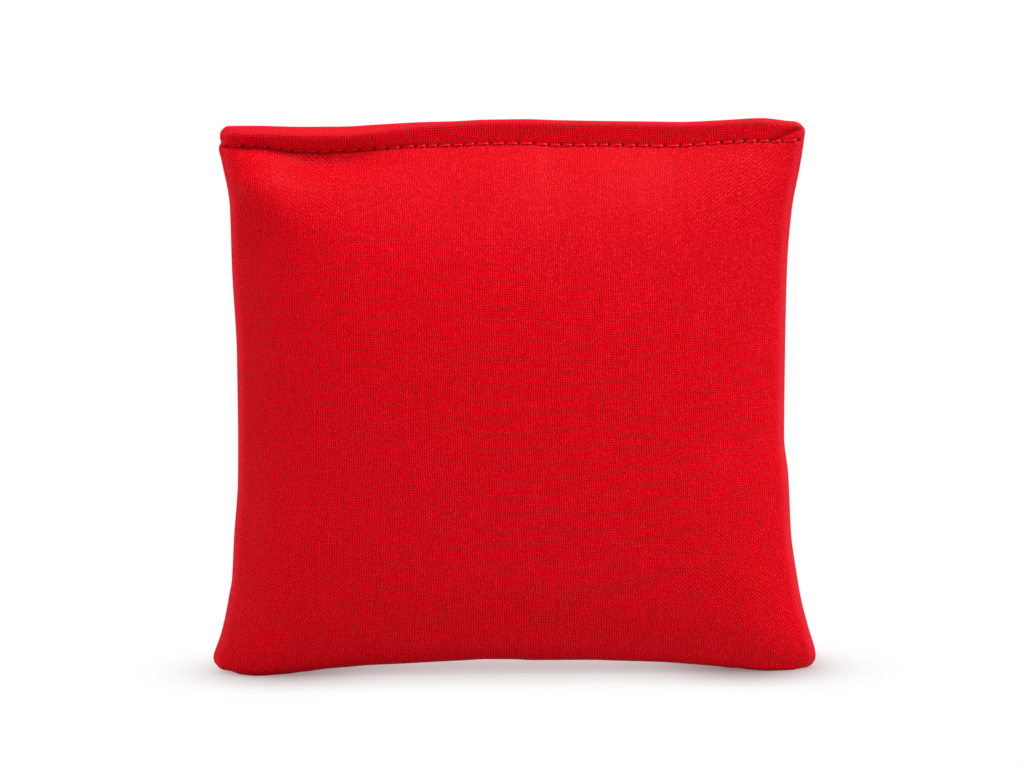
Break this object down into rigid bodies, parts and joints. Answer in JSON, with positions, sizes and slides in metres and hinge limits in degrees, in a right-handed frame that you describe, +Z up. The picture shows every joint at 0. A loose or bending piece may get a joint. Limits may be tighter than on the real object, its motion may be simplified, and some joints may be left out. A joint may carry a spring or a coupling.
{
  "type": "toss bean bag",
  "caption": "Square canvas toss bag, filled and crowned, with turned side and foot seams and a topstitched fold along its upper edge.",
  "frame": {"origin": "centre of the bag's footprint, on the ground plane that its two lower corners stand on", "axes": "+Z up, from the lower seam to the topstitched fold; +X across the bag; +Y from the front face to the back face, so the front faces -Y"},
  "size_m": [0.1523, 0.046, 0.141],
  "materials": {
    "canvas": "matt plain-weave cotton duck, dyed red",
    "thread": "spun sewing thread in the cloth's red, slightly glossier than the cloth",
    "beans": "smooth moulded filling beans"
  },
  "bodies": {
    "root": {"front_panel": "canvas", "back_panel": "canvas", "bean_fill": "beans", "closing_needle_thread": "thread", "closing_bobbin_thread": "thread", "seam_needle_thread": "thread", "seam_bobbin_thread": "thread"}
  },
  "joints": []
}
